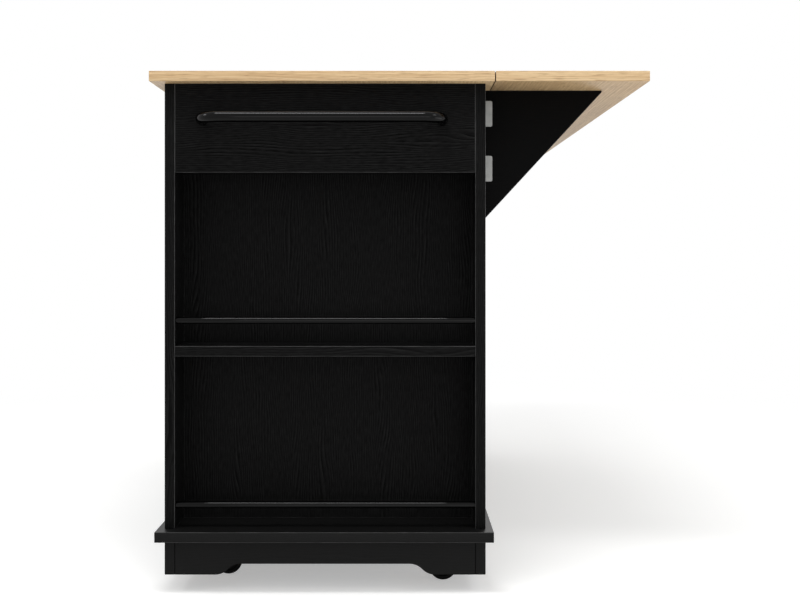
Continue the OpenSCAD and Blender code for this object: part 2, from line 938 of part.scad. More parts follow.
// Two sides and a back, grooved for the bottom
module drawer_box() {
    top = box_z + drawer_side_h;
    difference() {
        for (y = [box_y0, box_y1 - drawer_board_t])
            board([carcass_x, y, box_z], [box_x1, y + drawer_board_t, top]);
        drawer_bottom(groove_gap);
    }
    board([box_x1 - drawer_board_t, box_y0 + drawer_board_t,
           bottom_z + drawer_bottom_t + groove_gap], [box_x1, box_y1 - drawer_board_t, top]);
}

// Cross-section of a slide channel: web at y = 0, lips turned in, open to +Y
module channel_outline(h, w, lip) {
    difference() {
        translate([0, -h / 2]) square([w, h]);
        translate([slide_t, slide_t - h / 2]) square([w - 2 * slide_t, h - 2 * slide_t]);
        translate([slide_t, lip - h / 2]) square([w, h - 2 * lip]);
    }
}

channel_w = slide_w - 2;
slide_inner_h = slide_h - 2 * slide_t - 2 * slide_gap;
slide_inner_w = channel_w - 2 * slide_t - 2 * slide_gap;

// Channel on the cabinet's wall
module runner_channel() {
    translate([carcass_x, bay_y0, slide_z]) rotate([90, 0, 90])
        linear_extrude(drawer_box_d) channel_outline(slide_h, channel_w, slide_lip);
}

// Member on the drawer: a bar in the channel with a web that reaches the drawer's side
module drawer_slide() {
    neck = slide_h - 2 * slide_lip - 2 * slide_gap;
    translate([carcass_x, bay_y0 + slide_t + slide_gap, slide_z]) rotate([90, 0, 90])
        linear_extrude(drawer_box_d) {
            translate([0, -slide_inner_h / 2]) square([slide_inner_w, slide_inner_h]);
            translate([0, -neck / 2]) square([slide_w - slide_t - slide_gap, neck]);
        }
}

module both_walls() {
    children();
    translate([0, bay_y0 + partition_y, 0]) mirror([0, 1, 0]) children();
}

module runner_channels() {
    color(bright_steel) placed() both_bays() both_walls() runner_channel();
}

module near_drawer_front() { color(black_board) placed() drawer_front(); }
module far_drawer_front() { color(black_board) placed() far_bay() drawer_front(); }
module near_drawer_box() { color(raw_wood) placed() drawer_box(); }
module far_drawer_box() { color(raw_wood) placed() far_bay() drawer_box(); }
module near_drawer_bottom() { color(raw_wood) placed() drawer_bottom(); }
module far_drawer_bottom() { color(raw_wood) placed() far_bay() drawer_bottom(); }
module near_drawer_handle() { color(black_steel) placed() on_drawer() handle_set(); }
module far_drawer_handle() { color(black_steel) placed() far_bay() on_drawer() handle_set(); }
module near_drawer_slides() { color(bright_steel) placed() both_walls() drawer_slide(); }
module far_drawer_slides() { color(bright_steel) placed() far_bay() both_walls() drawer_slide(); }

// ---- Pins and screws that stay with the cabinet ----

module hinge_pins() {
    color(bright_steel) placed() {
        leaf_hinge_places() pin(leaf_hinge_len);
        both_ends() support_hinge_places() pin(support_hinge_h);
        both_bays() door_hinge_places() pin(door_hinge_h);
    }
}

module cabinet_screws() {
    color(bright_steel) placed() {
        leaf_hinge_places() leaf_frame_screws();
        both_ends() support_hinge_places() support_frame_screws();
        both_bays() door_hinge_places() door_frame_screws();
        bar_screw_places() bar_screw();
        for (spot = CASTERS) at_caster(spot) caster_screw();
    }
}

worktop();
base_plate();
rack_side_board();
near_end_wall();
far_end_wall();
back_panel();
centre_partition();
drawer_rails();
cabinet_shelves();
shelf_pins();
fascia_panel();
towel_bar();
rack_shelf();
upper_guard_rail();
lower_guard_rail();
plinth_ends();
plinth_sides();
caster_blocks();
caster_plates();
runner_channels();
leaf_hinge_frames();
support_hinge_frames();
door_hinge_frames();
hinge_pins();
cabinet_screws();
door_catches();
drop_leaf();
leaf_hinge_flaps();
near_support();
near_support_flaps();
far_support();
far_support_flaps();
near_drawer_front();
near_drawer_box();
near_drawer_bottom();
near_drawer_handle();
near_drawer_slides();
far_drawer_front();
far_drawer_box();
far_drawer_bottom();
far_drawer_handle();
far_drawer_slides();
near_door();
near_door_handle();
near_door_flaps();
far_door();
far_door_handle();
far_door_flaps();
fork(near_front);  // near_front_fork
axle(near_front);  // near_front_axle
wheel(near_front);  // near_front_wheel
fork(near_back);  // near_back_fork
axle(near_back);  // near_back_axle
wheel(near_back);  // near_back_wheel
fork(far_front);  // far_front_fork
axle(far_front);  // far_front_axle
wheel(far_front);  // far_front_wheel
fork(far_back);  // far_back_fork
axle(far_back);  // far_back_axle
wheel(far_back);  // far_back_wheel
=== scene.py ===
import json
import bpy
import bmesh
import numpy as np
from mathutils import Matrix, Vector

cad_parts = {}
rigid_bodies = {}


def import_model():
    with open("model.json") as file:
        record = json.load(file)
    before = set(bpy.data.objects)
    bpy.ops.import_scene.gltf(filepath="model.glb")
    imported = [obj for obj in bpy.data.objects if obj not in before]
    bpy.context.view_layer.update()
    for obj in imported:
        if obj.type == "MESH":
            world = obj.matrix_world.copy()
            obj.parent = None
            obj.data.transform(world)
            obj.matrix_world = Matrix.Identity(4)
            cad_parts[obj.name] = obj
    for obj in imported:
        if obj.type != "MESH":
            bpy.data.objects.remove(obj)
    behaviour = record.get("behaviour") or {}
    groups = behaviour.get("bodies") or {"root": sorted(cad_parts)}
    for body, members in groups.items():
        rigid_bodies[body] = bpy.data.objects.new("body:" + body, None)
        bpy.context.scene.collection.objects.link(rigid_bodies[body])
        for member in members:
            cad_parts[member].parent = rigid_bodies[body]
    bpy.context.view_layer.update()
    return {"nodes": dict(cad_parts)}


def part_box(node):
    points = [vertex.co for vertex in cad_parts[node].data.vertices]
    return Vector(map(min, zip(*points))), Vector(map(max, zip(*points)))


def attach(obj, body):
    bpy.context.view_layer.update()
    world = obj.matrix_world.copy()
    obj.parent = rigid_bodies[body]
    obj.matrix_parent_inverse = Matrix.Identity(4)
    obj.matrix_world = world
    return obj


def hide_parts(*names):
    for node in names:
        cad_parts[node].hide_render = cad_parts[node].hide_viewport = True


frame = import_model()
nodes = frame["nodes"]
mm = 0.001
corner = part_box("worktop")[0]  # the worktop's front corner at the rack end
chance = np.random.default_rng(7)  # picks where each board is cut from the printed sheet
print("frame loaded:", len(nodes), "nodes")


# An sRGB hex value as linear light
def toLinear(hexColour):
    value = np.array([int(hexColour[i:i + 2], 16) for i in (1, 3, 5)]) / 255
    return (*np.where(value <= 0.04045, value / 12.92, ((value + 0.055) / 1.055) ** 2.4), 1.0)


# A node with its settings, by name or socket, and the sockets that feed it
def addNode(tree, kind, settings=None, links=None):
    node = tree.nodes.new("ShaderNode" + kind)
    for key, value in (settings or {}).items():
        if isinstance(key, str) and hasattr(node, key):
            setattr(node, key, value)
        else:
            node.inputs[key].default_value = value
    for key, source in (links or {}).items():
        tree.links.new(source, node.inputs[key])
    return node


# A material with no nodes yet, and its node tree
def newMaterial(name):
    material = bpy.data.materials.new(name)
    material.use_nodes = True
    material.node_tree.nodes.clear()
    return material, material.node_tree


# Warped growth rings: the distance across the board is shifted by a stretched noise, and a
# saw wave of the shifted distance gives the rings, soft on one side and hard on the other.
# Lengths in metres. A wave texture of scale 1 repeats every 0.314 m.
def ringFigure(tree, uv, warpLength, warpWidth, warpDepth, spacing):
    stretch = addNode(tree, "Mapping", {"Scale": (1 / warpLength, 1 / warpWidth, 1)},
                      {"Vector": uv})
    warp = addNode(tree, "TexNoise", {"Scale": 1.0, "Detail": 2.0, "Roughness": 0.45},
                   {"Vector": stretch.outputs[0]})
    shift = addNode(tree, "Math", {"operation": "MULTIPLY_ADD", 1: warpDepth, 2: -warpDepth / 2},
                    {0: warp.outputs["Fac"]})
    split = addNode(tree, "SeparateXYZ", links={0: uv})
    across = addNode(tree, "Math", {"operation": "ADD"},
                     {0: split.outputs["Y"], 1: shift.outputs[0]})
    joined = addNode(tree, "CombineXYZ", links={"X": split.outputs["X"], "Y": across.outputs[0]})
    rings = addNode(tree, "TexWave", {"bands_direction": "Y", "wave_profile": "SAW",
                                      "Scale": 0.314 / spacing, "Distortion": 0.0},
                    {"Vector": joined.outputs[0]})
    return rings.outputs["Fac"]


# Streaks: a noise stretched along the grain, in patches of this length and width in metres
def streaks(tree, uv, length, width, detail=3.0):
    stretch = addNode(tree, "Mapping", {"Scale": (1 / length, 1 / width, 1)}, {"Vector": uv})
    noise = addNode(tree, "TexNoise", {"Scale": 1.0, "Detail": detail, "Roughness": 0.55},
                    {"Vector": stretch.outputs[0]})
    return noise.outputs["Fac"]


# Oak-print melamine foil on board, pressed: even satin, a soft ring figure and darker pores.
# Real pores are 0.3 mm wide; they are drawn 1.5 mm wide, so that they show. Here and below, warp
# is the length, width and depth of the rings' wander, and a pair is a streak's length and width.
oak = {"light": "#dabd92", "middle": "#caa97d", "dark": "#af895e", "pore": "#96734b",
       "warp": (0.7, 0.09, 0.075), "ringSpacing": 0.006, "ringShare": 0.22,
       "fine": (0.22, 0.0032), "broad": (0.9, 0.05), "broadShare": 0.5,
       "pores": (0.034, 0.0015), "roughness": 0.4, "gloss": 0.62}


def makeOakFoil(name="oakFoilPressed"):
    material, tree = newMaterial(name)
    uv = addNode(tree, "UVMap").outputs["UV"]
    rings = ringFigure(tree, uv, *oak["warp"], oak["ringSpacing"])
    fine = streaks(tree, uv, *oak["fine"])
    broad = streaks(tree, uv, *oak["broad"], 2.0)
    pores = streaks(tree, uv, *oak["pores"], 2.0)
    mixed = addNode(tree, "Math", {"operation": "MULTIPLY_ADD", 1: oak["ringShare"]},
                    {0: rings, 2: fine})
    tone = addNode(tree, "Math", {"operation": "MULTIPLY_ADD", 1: oak["broadShare"]},
                   {0: broad, 2: mixed.outputs[0]})
    ramp = addNode(tree, "ValToRGB", links={"Fac": tone.outputs[0]})
    stops = ramp.color_ramp.elements
    stops[0].position, stops[0].color = 0.5, toLinear(oak["dark"])
    stops[1].position, stops[1].color = 1.0, toLinear(oak["light"])
    stops.new(0.8).color = toLinear(oak["middle"])
    poreMask = addNode(tree, "MapRange",
                       {"From Min": 0.54, "From Max": 0.68, "To Min": 0.0, "To Max": 0.75},
                       {"Value": pores})
    colour = addNode(tree, "Mix", {"data_type": "RGBA", 7: toLinear(oak["pore"])},
                     {0: poreMask.outputs[0], 6: ramp.outputs["Color"]})
    height = addNode(tree, "Math", {"operation": "MULTIPLY_ADD", 1: -0.6},
                     {0: poreMask.outputs[0], 2: fine})
    bump = addNode(tree, "Bump", {"Strength": 0.12, "Distance": 0.0004},
                   {"Height": height.outputs[0]})
    rough = addNode(tree, "MapRange",
                    {"To Min": oak["roughness"] - 0.05, "To Max": oak["roughness"] + 0.08},
                    {"Value": fine})
    shader = addNode(tree, "BsdfPrincipled", {"IOR": 1.48, "Specular IOR Level": oak["gloss"]},
                     {"Base Color": colour.outputs[2], "Roughness": rough.outputs[0],
                      "Normal": bump.outputs[0]})
    addNode(tree, "OutputMaterial", links={"Surface": shader.outputs["BSDF"]})
    return material


# Black ash-grain foil, embossed as it is pressed on: deep black, with raised grain that shows as
# broken grey lines. Real growth lines lie 1 mm apart and pores are 0.3 mm wide; the lines are
# drawn 3.8 mm apart and the pores 1.8 mm wide, so that they show.
foil = {"warp": (0.36, 0.08, 0.06), "ringSpacing": 0.0038, "breaks": (0.05, 0.012),
        "pores": (0.016, 0.0018), "roughness": 0.5}


# The lines swing about an even ground, and a slow noise breaks them up. The studio is white all
# round where the real one was dark in front, so the foils that face it get little gloss.
def makeBlackFoil(name, low, high, specular, figure=1.0, roughness=foil["roughness"]):
    material, tree = newMaterial(name)
    uv = addNode(tree, "UVMap").outputs["UV"]
    rings = ringFigure(tree, uv, *foil["warp"], foil["ringSpacing"])
    breaks = streaks(tree, uv, *foil["breaks"], 2.0)
    shown = addNode(tree, "MapRange",
                    {"From Min": 0.36, "From Max": 0.64, "To Min": 0.15, "To Max": 1.0},
                    {"Value": breaks})
    pores = streaks(tree, uv, *foil["pores"])
    ground = addNode(tree, "MapRange",
                     {"From Min": 0.35, "From Max": 0.72, "To Min": 0.08, "To Max": 0.5},
                     {"Value": pores})
    swing = addNode(tree, "Math", {"operation": "SUBTRACT", 1: 0.5}, {0: rings})
    tone = addNode(tree, "Math", {"operation": "MULTIPLY_ADD", "use_clamp": True},
                   {0: swing.outputs[0], 1: shown.outputs[0], 2: ground.outputs[0]})
    mask = addNode(tree, "Math", {"operation": "MULTIPLY", 1: figure}, {0: tone.outputs[0]})
    colour = addNode(tree, "Mix", {"data_type": "RGBA", 6: toLinear(low), 7: toLinear(high)},
                     {0: mask.outputs[0]})
    bump = addNode(tree, "Bump", {"Strength": 0.3, "Distance": 0.0003}, {"Height": mask.outputs[0]})
    rough = addNode(tree, "MapRange", {"To Min": roughness + 0.06, "To Max": roughness - 0.12},
                    {"Value": mask.outputs[0]})
    shader = addNode(tree, "BsdfPrincipled", {"IOR": 1.48, "Specular IOR Level": specular},
                     {"Base Color": colour.outputs[2], "Roughness": rough.outputs[0],
                      "Normal": bump.outputs[0]})
    addNode(tree, "OutputMaterial", links={"Surface": shader.outputs["BSDF"]})
    return material


# Black enamel stoved on steel: deep gloss with a faint orange peel, 1.5 mm across, and a slow
# change of gloss from dust and hands in patches of 71 mm
enamel = {"colour": "#030303", "roughness": 0.05, "peel": 0.0015, "patch": 1 / 14, "gloss": 0.14}


def makeEnamel(name="blackEnamelStoved"):
    material, tree = newMaterial(name)
    place = addNode(tree, "TexCoord").outputs["Object"]
    peel = addNode(tree, "TexNoise", {"Scale": 1 / enamel["peel"], "Detail": 1.0},
                   {"Vector": place})
    dust = addNode(tree, "TexNoise", {"Scale": 1 / enamel["patch"], "Detail": 4.0},
                   {"Vector": place})
    rough = addNode(tree, "MapRange",
                    {"From Min": 0.35, "From Max": 0.7, "To Min": enamel["roughness"] - 0.03,
                     "To Max": enamel["roughness"] + 0.1}, {"Value": dust.outputs["Fac"]})
    bump = addNode(tree, "Bump", {"Strength": 0.01, "Distance": 0.0003},
                   {"Height": peel.outputs["Fac"]})
    shader = addNode(tree, "BsdfPrincipled",
                     {"Base Color": toLinear(enamel["colour"]), "IOR": 1.5,
                      "Specular IOR Level": enamel["gloss"]},
                     {"Roughness": rough.outputs[0], "Normal": bump.outputs[0]})
    addNode(tree, "OutputMaterial", links={"Surface": shader.outputs["BSDF"]})
    return material


# Bright zinc plate on stamped steel: cool grey metal with clouds 14 mm across from the plating
# bath. Real rolling lines lie 0.1 mm apart; they are drawn 0.8 mm apart and 33 mm long.
zinc = {"light": "#959593", "dark": "#777876", "line": 0.0008, "lineLength": 1 / 30,
        "cloud": 1 / 70, "roughness": 0.34}


def makeZinc(name="zincPlatedSteel"):
    material, tree = newMaterial(name)
    place = addNode(tree, "TexCoord").outputs["Object"]
    across, along = 1 / zinc["line"], 1 / zinc["lineLength"]
    stretch = addNode(tree, "Mapping", {"Scale": (across, across, along)}, {"Vector": place})
    lines = addNode(tree, "TexNoise", {"Scale": 1.0, "Detail": 2.0}, {"Vector": stretch.outputs[0]})
    cloud = addNode(tree, "TexNoise", {"Scale": 1 / zinc["cloud"], "Detail": 3.0},
                    {"Vector": place})
    colour = addNode(tree, "Mix",
                     {"data_type": "RGBA", 6: toLinear(zinc["dark"]), 7: toLinear(zinc["light"])},
                     {0: cloud.outputs["Fac"]})
    rough = addNode(tree, "MapRange",
                    {"To Min": zinc["roughness"] - 0.08, "To Max": zinc["roughness"] + 0.1},
                    {"Value": lines.outputs["Fac"]})
    bump = addNode(tree, "Bump", {"Strength": 0.08, "Distance": 0.0002},
                   {"Height": lines.outputs["Fac"]})
    shader = addNode(tree, "BsdfPrincipled", {"Metallic": 1.0},
                     {"Base Color": colour.outputs[2], "Roughness": rough.outputs[0],
                      "Normal": bump.outputs[0]})
    addNode(tree, "OutputMaterial", links={"Surface": shader.outputs["BSDF"]})
    return material


# Pine, planed and lacquered or sawn and left bare: straight pale grain, rings 4.5 mm apart. The
# rings lie on a slope, so that they show on upright and level faces alike.
pine = {"warp": (0.5, 0.08, 0.03), "ringSpacing": 0.0045, "fine": (0.12, 0.0015), "slope": 0.8}


def makePine(name, light, dark, roughness):
    material, tree = newMaterial(name)
    place = addNode(tree, "TexCoord").outputs["Object"]
    split = addNode(tree, "SeparateXYZ", links={0: place})
    plane = addNode(tree, "Math", {"operation": "MULTIPLY_ADD", 1: pine["slope"]},
                    {0: split.outputs["Y"], 2: split.outputs["Z"]})
    joined = addNode(tree, "CombineXYZ", links={"X": split.outputs["X"], "Y": plane.outputs[0]})
    flat = joined.outputs[0]
    rings = ringFigure(tree, flat, *pine["warp"], pine["ringSpacing"])
    fine = streaks(tree, flat, *pine["fine"])
    mask = addNode(tree, "Math", {"operation": "MULTIPLY"}, {0: rings, 1: fine})
    colour = addNode(tree, "Mix", {"data_type": "RGBA", 6: toLinear(light), 7: toLinear(dark)},
                     {0: mask.outputs[0]})
    bump = addNode(tree, "Bump", {"Strength": 0.15, "Distance": 0.0003}, {"Height": fine})
    shader = addNode(tree, "BsdfPrincipled", {"Roughness": roughness, "IOR": 1.45},
                     {"Base Color": colour.outputs[2], "Normal": bump.outputs[0]})
    addNode(tree, "OutputMaterial", links={"Surface": shader.outputs["BSDF"]})
    return material


# Black nylon, injection moulded: soft sheen with scuffs 11 mm across and a fine spark-eroded
# grain. The real grain is 0.1 mm across; it is drawn 0.6 mm across.
nylon = {"low": "#030303", "high": "#090909", "grain": 0.0006, "scuff": 1 / 90,
         "roughness": 0.48, "gloss": 0.06}


def makeNylon(name="blackNylonMoulded"):
    material, tree = newMaterial(name)
    place = addNode(tree, "TexCoord").outputs["Object"]
    grain = addNode(tree, "TexNoise", {"Scale": 1 / nylon["grain"], "Detail": 2.0},
                    {"Vector": place})
    scuff = addNode(tree, "TexNoise",
                    {"Scale": 1 / nylon["scuff"], "Detail": 5.0, "Roughness": 0.7},
                    {"Vector": place})
    colour = addNode(tree, "Mix",
                     {"data_type": "RGBA", 6: toLinear(nylon["low"]), 7: toLinear(nylon["high"])},
                     {0: scuff.outputs["Fac"]})
    rough = addNode(tree, "MapRange",
                    {"To Min": nylon["roughness"] - 0.08, "To Max": nylon["roughness"] + 0.12},
                    {"Value": scuff.outputs["Fac"]})
    bump = addNode(tree, "Bump", {"Strength": 0.12, "Distance": 0.0002},
                   {"Height": grain.outputs["Fac"]})
    shader = addNode(tree, "BsdfPrincipled", {"IOR": 1.5, "Specular IOR Level": nylon["gloss"]},
                     {"Base Color": colour.outputs[2], "Roughness": rough.outputs[0],
                      "Normal": bump.outputs[0]})
    addNode(tree, "OutputMaterial", links={"Surface": shader.outputs["BSDF"]})
    return material


# Dark chipboard core, dull brown chips 2 mm across with dust of 1.1 mm between: a painted shade for
# the narrow gap at the leaf's joint
jointShadeCore = {"low": "#3a2616", "high": "#6b4a2c", "chip": 0.002, "dust": 1 / 900, "roughness": 0.85}


def makeJointShade(name="chipboardPaintedJointShade"):
    material, tree = newMaterial(name)
    place = addNode(tree, "TexCoord").outputs["Object"]
    chips = addNode(tree, "TexVoronoi", {"Scale": 1 / jointShadeCore["chip"], "Randomness": 1.0},
                    {"Vector": place})
    dust = addNode(tree, "TexNoise", {"Scale": 1 / jointShadeCore["dust"], "Detail": 3.0},
                   {"Vector": place})
    mask = addNode(tree, "Math", {"operation": "MULTIPLY_ADD", 1: 0.7},
                   {0: chips.outputs["Distance"], 2: dust.outputs["Fac"]})
    colour = addNode(tree, "Mix",
                     {"data_type": "RGBA", 6: toLinear(jointShadeCore["low"]), 7: toLinear(jointShadeCore["high"])},
                     {0: mask.outputs[0]})
    bump = addNode(tree, "Bump", {"Strength": 0.4, "Distance": 0.0004}, {"Height": mask.outputs[0]})
    shader = addNode(tree, "BsdfPrincipled", {"Roughness": jointShadeCore["roughness"], "IOR": 1.45},
                     {"Base Color": colour.outputs[2], "Normal": bump.outputs[0]})
    addNode(tree, "OutputMaterial", links={"Surface": shader.outputs["BSDF"]})
    return material


oakFoil = makeOakFoil()
jointShadeMaterial = makeJointShade()
# name, the ground's and the lines' colour, gloss, strength of the figure, roughness
blackFoil = makeBlackFoil("blackAshFoilPressed", "#040404", "#242424", 0.03)  # deep, clear lines
blackCalm = makeBlackFoil("blackAshFoilFlatCut", "#070707", "#2a2a2a", 0.03, 0.7)  # fainter lines
blackBand = makeBlackFoil("blackEdgeBandGlued", "#080808", "#242424", 0.04, 0.8)  # even dark grey
blackSmoothPaintedLight = makeBlackFoil("blackFoilSmoothPaintedLight", "#1a1a1a", "#252525", 0.06, 0.35)  # a softer figure; paler, a painted light for the floor's bounce on the low boards
blackPaintAndJointShade = makeBlackFoil("blackPaintSprayedAndJointShade", "#090909", "#151515", 0.03, 0.3)  # flat matt black; on the plinth's arrises it is a painted shade that draws its joints as dark lines
# darker and plainer than the other foils: a painted shade for the shadow on the base plate's top
# under the shelves. It is glossier, so it is black from above and grey with the light of the room
# at a low angle.
blackGlossyPaintedShade = makeBlackFoil("blackFoilGlossyPaintedShade", "#070707", "#121212", 0.5, 0.3, 0.34)
blackArrisPaintedHighlight = makeBlackFoil("blackFoilArrisPaintedHighlight", "#2c2c2c", "#4c4c4c", 0.25)  # lighter grey: a painted highlight that draws each arris as a thin light line
blackEnamel = makeEnamel()
zincSteel = makeZinc()
drawerPine = makePine("pineBoardLacquered", "#dcc096", "#b48c5a", 0.4)
blockPine = makePine("pineBlockSawn", "#c9a97c", "#94703f", 0.7)
blackNylon = makeNylon()
print("materials made")


# A surface is points in millimetres from the worktop's corner and the floor, faces, a pair of
# texture lengths in metres for each corner of each face, and a look for each face
def surface(points, faces, uv, looks):
    return {"points": np.asarray(points, float), "faces": faces, "uv": uv, "looks": looks}


# Each corner of an outline drawn in along the line that halves its angle, by the sum of the two
# edges' unit normals over 1 plus their product, times the distance. One copy for each distance.
def drawnIn(outline, distance):
    before, after = outline - np.roll(outline, 1, 0), np.roll(outline, -1, 0) - outline
    before /= np.linalg.norm(before, axis=1, keepdims=True)
    after /= np.linalg.norm(after, axis=1, keepdims=True)
    first = np.stack([-before[:, 1], before[:, 0]], 1)
    second = np.stack([-after[:, 1], after[:, 0]], 1)
    step = (first + second) / (1 + (first * second).sum(1))[:, None]
    return outline[None] + np.asarray(distance)[:, None, None] * step[None]


# An outline with each corner made an arc: the arc starts radius * tan(turn / 2) before the
# corner and turns by the corner's own angle about a centre that lies square to the edge
def roundedOutline(corners, radius, steps=5):
    corners = np.asarray(corners, float)
    radius = np.broadcast_to(np.asarray(radius, float), len(corners))
    before, after = corners - np.roll(corners, 1, 0), np.roll(corners, -1, 0) - corners
    before /= np.linalg.norm(before, axis=1, keepdims=True)
    after /= np.linalg.norm(after, axis=1, keepdims=True)
    turn = np.arctan2(before[:, 0] * after[:, 1] - before[:, 1] * after[:, 0],
                      (before * after).sum(1))
    start = corners - before * (radius * np.tan(np.abs(turn) / 2))[:, None]
    square = np.stack([-before[:, 1], before[:, 0]], 1) * np.sign(turn)[:, None]
    centre = start + square * radius[:, None]
    first = np.arctan2(*(start - centre).T[::-1])
    angle = first[:, None] + turn[:, None] * np.linspace(0, 1, steps)
    arc = centre[:, None] + radius[:, None, None] * np.stack([np.cos(angle), np.sin(angle)], 2)
    arc = arc.reshape(-1, 2)
    return arc[np.linalg.norm(arc - np.roll(arc, 1, 0), axis=1) > 1e-6]


# A board: its outline carried through its thickness. Each arris is a quarter circle: at angle a
# the outline is drawn in by arris * (1 - sin a) and lies arris * (1 - cos a) from the face. The
# printed grain runs along the faces, and along the edge on the band that goes round them. The
# looks are those of the faces, the arrises and the band.
def plate(outline, low, high, axis, grain, arris=0.8, steps=3, looks=(0, 1, 2)):
    turn = np.linspace(0, np.pi / 2, steps + 1)
    inward = arris * (1 - np.sin(turn))
    rise = arris * (1 - np.cos(turn))
    inward = np.concatenate([inward, inward[::-1]])
    level = np.concatenate([low + rise, (high - rise)[::-1]])
    ring = drawnIn(outline, inward)
    rows, cols = ring.shape[:2]
    full = np.concatenate([ring, np.broadcast_to(level[:, None, None], (rows, cols, 1))], 2)
    order = {"x": [2, 0, 1], "y": [0, 2, 1], "z": [0, 1, 2]}[axis]
    points = full.reshape(-1, 3)[:, order]
    i, j = [g.ravel() for g in np.meshgrid(np.arange(rows - 1), np.arange(cols), indexing="ij")]
    k = (j + 1) % cols
    quads = np.stack([i * cols + j, i * cols + k, (i + 1) * cols + k, (i + 1) * cols + j], 1)
    edge = np.linalg.norm(np.roll(outline, -1, 0) - outline, axis=1)
    around = np.concatenate([[0], np.cumsum(edge)]) * mm
    place = chance.uniform(0, 40, (3, 2))  # on the sheet: of the band, then of the two faces
    up = (level - low) * mm
    quadUv = np.stack([around[np.stack([j, j + 1, j + 1, j], 1)],
                       up[np.stack([i, i, i + 1, i + 1], 1)]], 2) + place[0]
    along = {"x": "yz", "y": "xz", "z": "xy"}[axis].index(grain)
    caps = [ring[row][:, [along, 1 - along]] * mm + place[draw] for row, draw in ((0, 1), (-1, 2))]
    faces = quads.tolist() + [list(range(cols))[::-1], list(range((rows - 1) * cols, rows * cols))]
    uv = [*quadUv, caps[0][::-1], caps[1]]
    band = np.where(i == steps, looks[2], looks[1]).tolist() + [looks[0], looks[0]]
    if axis == "y":
        faces, uv = [f[::-1] for f in faces], [u[::-1] for u in uv]
    return surface(points, faces, uv, band)


# A plain rectangular board between two corners, its edges rounded a little more than its arrises
def board(low, high, axis, grain, arris):
    first, second = {"x": (1, 2), "y": (0, 2), "z": (0, 1)}[axis]
    a0, b0, a1, b1 = low[first], low[second], high[first], high[second]
    outline = roundedOutline([(a0, b0), (a1, b0), (a1, b1), (a0, b1)], arris * 1.25, 4)
    n = "xyz".index(axis)
    return plate(outline, low[n], high[n], axis, grain, arris)


# A grid of rows and columns, the columns closed into a ring, faces pointing away from the axis
def ringGrid(points, uv, look=0):
    rows, cols = points.shape[:2]
    i, j = [g.ravel() for g in np.meshgrid(np.arange(rows - 1), np.arange(cols), indexing="ij")]
    k = (j + 1) % cols
    quads = np.stack([i * cols + j, i * cols + k, (i + 1) * cols + k, (i + 1) * cols + j], 1)
    uv = np.concatenate([uv, uv[:, :1] + (uv[:, -1:] - uv[:, -2:-1])], 1)
    quadUv = np.stack([uv[i, j], uv[i, j + 1], uv[i + 1, j + 1], uv[i + 1, j]], 1)
    return surface(points.reshape(-1, 3), quads.tolist(), list(quadUv), [look] * len(quads))


# A turned shape: its profile, a radius and a height for each row, carried round an upright
# axis. Both ends of the profile lie on the axis, so the shape is closed.
def turned(profile, middle, sides=32):
    profile = np.asarray(profile, float)
    angle = np.arange(sides) * 2 * np.pi / sides
    spoke = np.stack([-np.sin(angle), np.cos(angle), 0 * angle], 1)
    upright = np.array([0, 0, 1])
    points = middle + profile[:, 0, None, None] * spoke + profile[:, 1, None, None] * upright
    length = np.cumsum(np.linalg.norm(np.diff(profile, axis=0), axis=1))
    length = np.concatenate([[0], length]) * mm
    uv = np.stack(np.broadcast_arrays(angle[None] * 0.01, length[:, None]), 2)
    return ringGrid(points, uv)


# A round rod: a circle carried along a path that lies in one plane. Its ends close over a
# quarter circle of the given crown.
def rod(path, plane, radius, sides=32, crown=0.6):
    path, plane = np.asarray(path, float), np.asarray(plane, float)
    tangent = np.gradient(path, axis=0)
    tangent /= np.linalg.norm(tangent, axis=1, keepdims=True)
    bow = np.linspace(0, np.pi / 2, 5)
    ends = np.stack([radius - crown * (1 - np.sin(bow)), crown * (1 - np.cos(bow))], 1)
    centre = np.concatenate([path[:1], path[0] + ends[:, 1:] * tangent[0], path[1:-1],
                             path[-1] - ends[::-1, 1:] * tangent[-1], path[-1:]])
    size = np.concatenate([[0], ends[:, 0], np.full(len(path) - 2, radius), ends[::-1, 0], [0]])
    rows = len(ends) + 1
    heading = np.concatenate([np.repeat(tangent[:1], rows, 0), tangent[1:-1],
                              np.repeat(tangent[-1:], rows, 0)])
    side = np.cross(heading, plane)
    angle = np.arange(sides) * 2 * np.pi / sides
    spoke = np.cos(angle)[:, None] * side[:, None] + np.sin(angle)[:, None] * plane
    points = centre[:, None] + size[:, None, None] * spoke
    length = np.cumsum(np.linalg.norm(np.diff(centre, axis=0), axis=1))
    length = np.concatenate([[0], length]) * mm
    uv = np.stack(np.broadcast_arrays(length[:, None], angle[None] * radius * mm), 2)
    return ringGrid(points[:, ::-1], uv[:, ::-1])


# The centreline of a bent rod: straight feet, a quarter circle at each end and a straight run
def bentPath(length, out, diameter, bend, steps=14):
    reach = length / 2 - diameter / 2
    turn = np.linspace(0, np.pi / 2, steps)
    foot = [[-reach, 0.0], [-reach, (out - bend) / 2]]
    arc = np.stack([-reach + bend * (1 - np.cos(turn)), out - bend * (1 - np.sin(turn))], 1)
    half = np.concatenate([foot, arc])
    middle = np.stack([np.linspace(-(reach - bend), 0, 9)[1:], np.full(8, out)], 1)
    left = np.concatenate([half, middle])
    return np.concatenate([left, (left * [-1, 1])[::-1][1:]])


# The heads of the screws in millimetres, and the cross recess as shares of the head's radius
panHead = {"radius": 4.0, "height": 1.6, "shank": 2.0, "stem": 1.5, "domed": 0.7}
flatHead = {"radius": 3.0, "height": 1.4, "shank": 1.5, "stem": 1.5, "domed": 0.0}
recess = {"half": 0.14, "reach": 0.6, "soft": 0.035, "depth": 0.45, "rows": 12}


